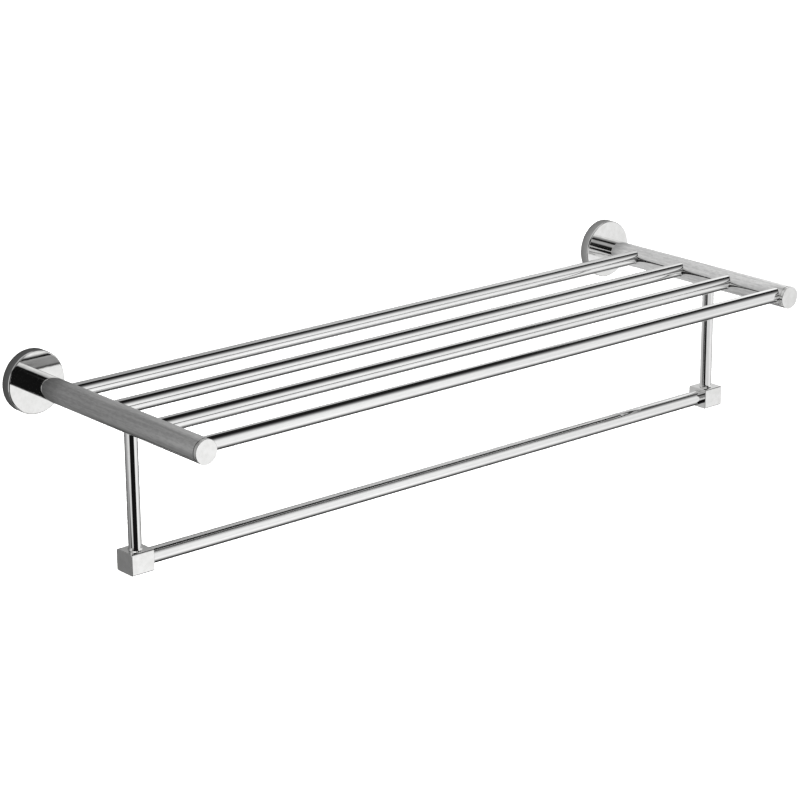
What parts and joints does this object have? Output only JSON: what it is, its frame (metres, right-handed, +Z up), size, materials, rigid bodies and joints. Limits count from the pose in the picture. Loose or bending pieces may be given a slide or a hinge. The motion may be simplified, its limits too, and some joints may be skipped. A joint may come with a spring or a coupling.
{
  "type": "wall-mounted towel rack with shelf rods and a lower towel bar",
  "caption": "Chrome towel rack for a bathroom wall: round rods between two arms form a shelf, with a towel bar hung below it on short posts.",
  "frame": {"origin": "on the wall, midway between the two arms, at the height of the arms' axes: the centre of the four wall screws", "axes": "+X along the wall from the left arm to the right arm, seen from the room; +Y into the wall; +Z up"},
  "size_m": [0.65, 0.225, 0.1405],
  "materials": {
    "polished_chrome": "mirror-polished chrome plate over steel and brass",
    "zinc_bracket": "plain die-cast zinc, matt",
    "fixing_steel": "bright zinc-plated steel",
    "brass_insert": "turned, unplated brass"
  },
  "bodies": {
    "root": {"left_wall_bracket": "zinc_bracket", "left_flange_cover": "polished_chrome", "left_arm": "polished_chrome", "left_end_cap": "polished_chrome", "left_post": "polished_chrome", "left_post_collar": "polished_chrome", "left_bar_block": "polished_chrome", "left_flange_set_screw": "fixing_steel", "left_arm_bolt": "fixing_steel", "left_arm_washer": "fixing_steel", "left_rod_set_screws": "fixing_steel", "left_post_upper_stud": "fixing_steel", "left_post_lower_stud": "fixing_steel", "left_bar_set_screw": "fixing_steel", "left_arm_plug": "brass_insert", "left_post_anchor": "brass_insert", "right_wall_bracket": "zinc_bracket", "right_flange_cover": "polished_chrome", "right_arm": "polished_chrome", "right_end_cap": "polished_chrome", "right_post": "polished_chrome", "right_post_collar": "polished_chrome", "right_bar_block": "polished_chrome", "right_flange_set_screw": "fixing_steel", "right_arm_bolt": "fixing_steel", "right_arm_washer": "fixing_steel", "right_rod_set_screws": "fixing_steel", "right_post_upper_stud": "fixing_steel", "right_post_lower_stud": "fixing_steel", "right_bar_set_screw": "fixing_steel", "right_arm_plug": "brass_insert", "right_post_anchor": "brass_insert", "shelf_rod_1": "polished_chrome", "shelf_rod_2": "polished_chrome", "shelf_rod_3": "polished_chrome", "shelf_rod_4": "polished_chrome", "towel_bar": "polished_chrome"}
  },
  "joints": []
}
